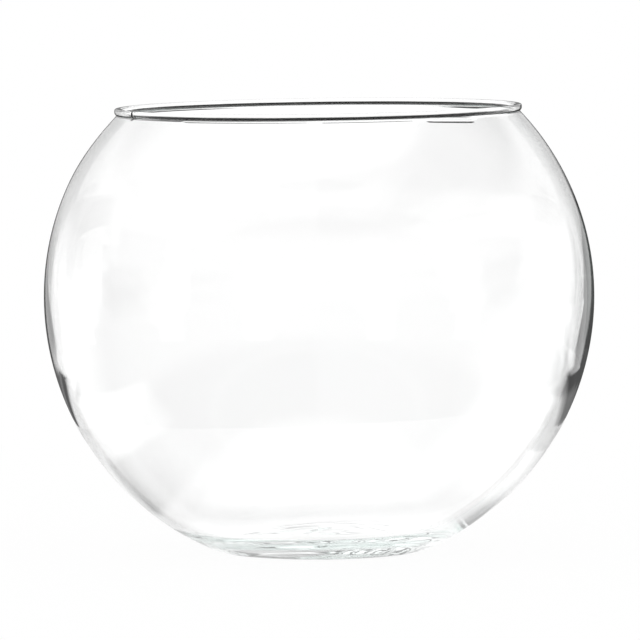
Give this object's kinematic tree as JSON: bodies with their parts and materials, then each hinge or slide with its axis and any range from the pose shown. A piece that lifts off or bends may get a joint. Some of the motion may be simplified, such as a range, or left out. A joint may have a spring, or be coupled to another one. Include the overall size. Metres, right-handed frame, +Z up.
{
  "type": "fishbowl vase",
  "caption": "Round clear glass bowl vase with a wide open mouth, a melted rim bead and a flat base, for cut flowers, floating candles or table displays.",
  "frame": {"origin": "centre of the base, on the surface that the bowl stands on", "axes": "+Z up along the bowl's axis of revolution, out of the mouth; X and Y are level and alike"},
  "size_m": [0.25, 0.25, 0.2028],
  "materials": {
    "clear_glass": "clear soda-lime glass, mould blown, with a fire-polished rim"
  },
  "bodies": {
    "root": {"glass_bowl": "clear_glass"}
  },
  "joints": []
}
